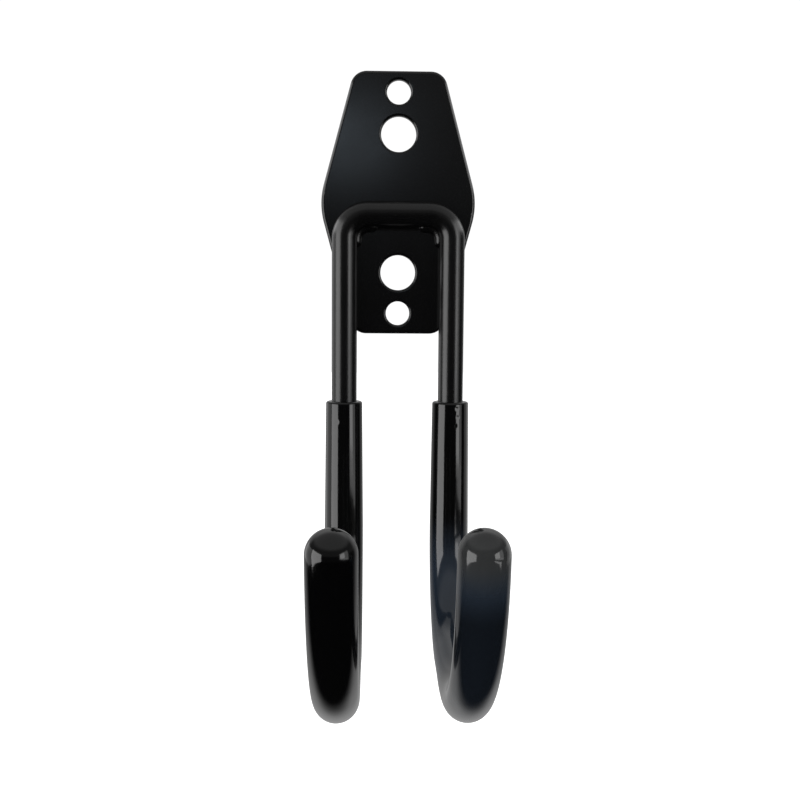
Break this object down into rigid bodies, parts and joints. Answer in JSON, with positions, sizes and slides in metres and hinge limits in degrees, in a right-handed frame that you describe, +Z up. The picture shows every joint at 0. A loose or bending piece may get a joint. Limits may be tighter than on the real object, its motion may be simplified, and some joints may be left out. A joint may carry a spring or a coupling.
{
  "type": "charging cable holder",
  "caption": "Wall hook for a coiled charging cable: a pierced steel plate carries a bent rod, whose sleeved J-shaped arms reach forward and turn up.",
  "frame": {"origin": "the middle of the plate's back face, on the wall", "axes": "+X to the right of someone facing the wall, +Y into the wall, +Z up; the hooks reach along -Y"},
  "size_m": [0.051, 0.119, 0.1933],
  "materials": {
    "powder_coat": "satin black powder coat on steel",
    "soft_vinyl": "glossy black soft vinyl"
  },
  "bodies": {
    "root": {"back_plate": "powder_coat", "hook_rod": "powder_coat", "left_weld": "powder_coat", "right_weld": "powder_coat", "middle_weld": "powder_coat", "left_sleeve": "soft_vinyl", "right_sleeve": "soft_vinyl"}
  },
  "joints": []
}
